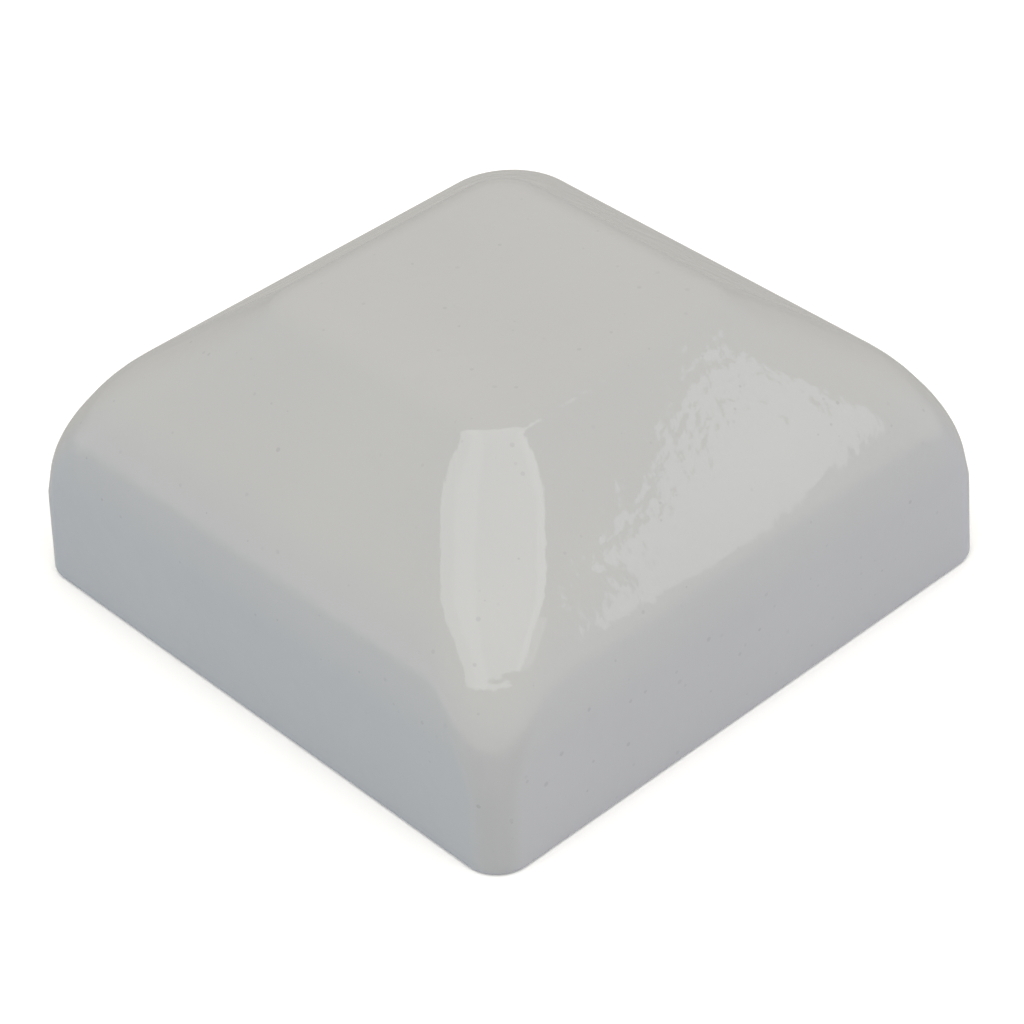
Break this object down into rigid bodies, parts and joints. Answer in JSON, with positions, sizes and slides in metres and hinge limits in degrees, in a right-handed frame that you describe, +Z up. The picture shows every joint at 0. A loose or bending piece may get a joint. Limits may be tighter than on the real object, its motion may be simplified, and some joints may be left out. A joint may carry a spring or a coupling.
{
  "type": "fence post cap",
  "caption": "Square moulded post cap with bevelled sides and a flat top that snaps over a hidden base plate screwed to the end of a fence post.",
  "frame": {"origin": "centre of the shell's rim, in the plane of the rim", "axes": "+Z up out of the post through the flat top; +X and +Y square to the skirt walls, front is -Y"},
  "size_m": [0.108, 0.108, 0.051],
  "materials": {
    "shell_plastic": "glossy pale grey-white moulding with a faint orange peel",
    "bumper_rubber": "matt black moulded rubber",
    "plate_steel": "rolled stainless sheet, satin",
    "gasket_foam": "closed-cell foam rubber sheet, matt",
    "screw_steel": "passivated stainless steel",
    "washer_steel": "pressed stainless steel",
    "washer_rubber": "bonded rubber face",
    "rivet_aluminium": "plain drawn aluminium",
    "spring_steel": "tempered stainless strip, lightly polished"
  },
  "bodies": {
    "base": {"base_plate": "plate_steel", "end_gasket": "gasket_foam", "plate_screws": "screw_steel", "washer_cups": "washer_steel", "washer_seals": "washer_rubber", "clip_rivets": "rivet_aluminium", "clip_foot_front": "spring_steel", "clip_foot_right": "spring_steel", "clip_foot_back": "spring_steel", "clip_foot_left": "spring_steel"},
    "shell": {"outer_shell": "shell_plastic", "bumper_front_right": "bumper_rubber", "bumper_back_right": "bumper_rubber", "bumper_back_left": "bumper_rubber", "bumper_front_left": "bumper_rubber"},
    "clip_front": {"clip_leaf_front": "spring_steel"},
    "clip_right": {"clip_leaf_right": "spring_steel"},
    "clip_back": {"clip_leaf_back": "spring_steel"},
    "clip_left": {"clip_leaf_left": "spring_steel"}
  },
  "joints": [
    {"name": "shell_lift", "type": "slide", "parent": "base", "child": "shell", "axis": [0, 0, 1], "range_m": [0, 0.06]},
    {"name": "clip_front_flex", "type": "hinge", "parent": "base", "child": "clip_front", "pos_m": [0, -0.042, 0.031], "axis": [1, 0, 0], "range_deg": [0, 8], "stiffness_Nm_per_rad": 1.5},
    {"name": "clip_right_flex", "type": "hinge", "parent": "base", "child": "clip_right", "pos_m": [0.042, 0, 0.031], "axis": [0, 1, 0], "range_deg": [0, 8], "stiffness_Nm_per_rad": 1.5},
    {"name": "clip_back_flex", "type": "hinge", "parent": "base", "child": "clip_back", "pos_m": [0, 0.042, 0.031], "axis": [-1, 0, 0], "range_deg": [0, 8], "stiffness_Nm_per_rad": 1.5},
    {"name": "clip_left_flex", "type": "hinge", "parent": "base", "child": "clip_left", "pos_m": [-0.042, 0, 0.031], "axis": [0, -1, 0], "range_deg": [0, 8], "stiffness_Nm_per_rad": 1.5}
  ]
}
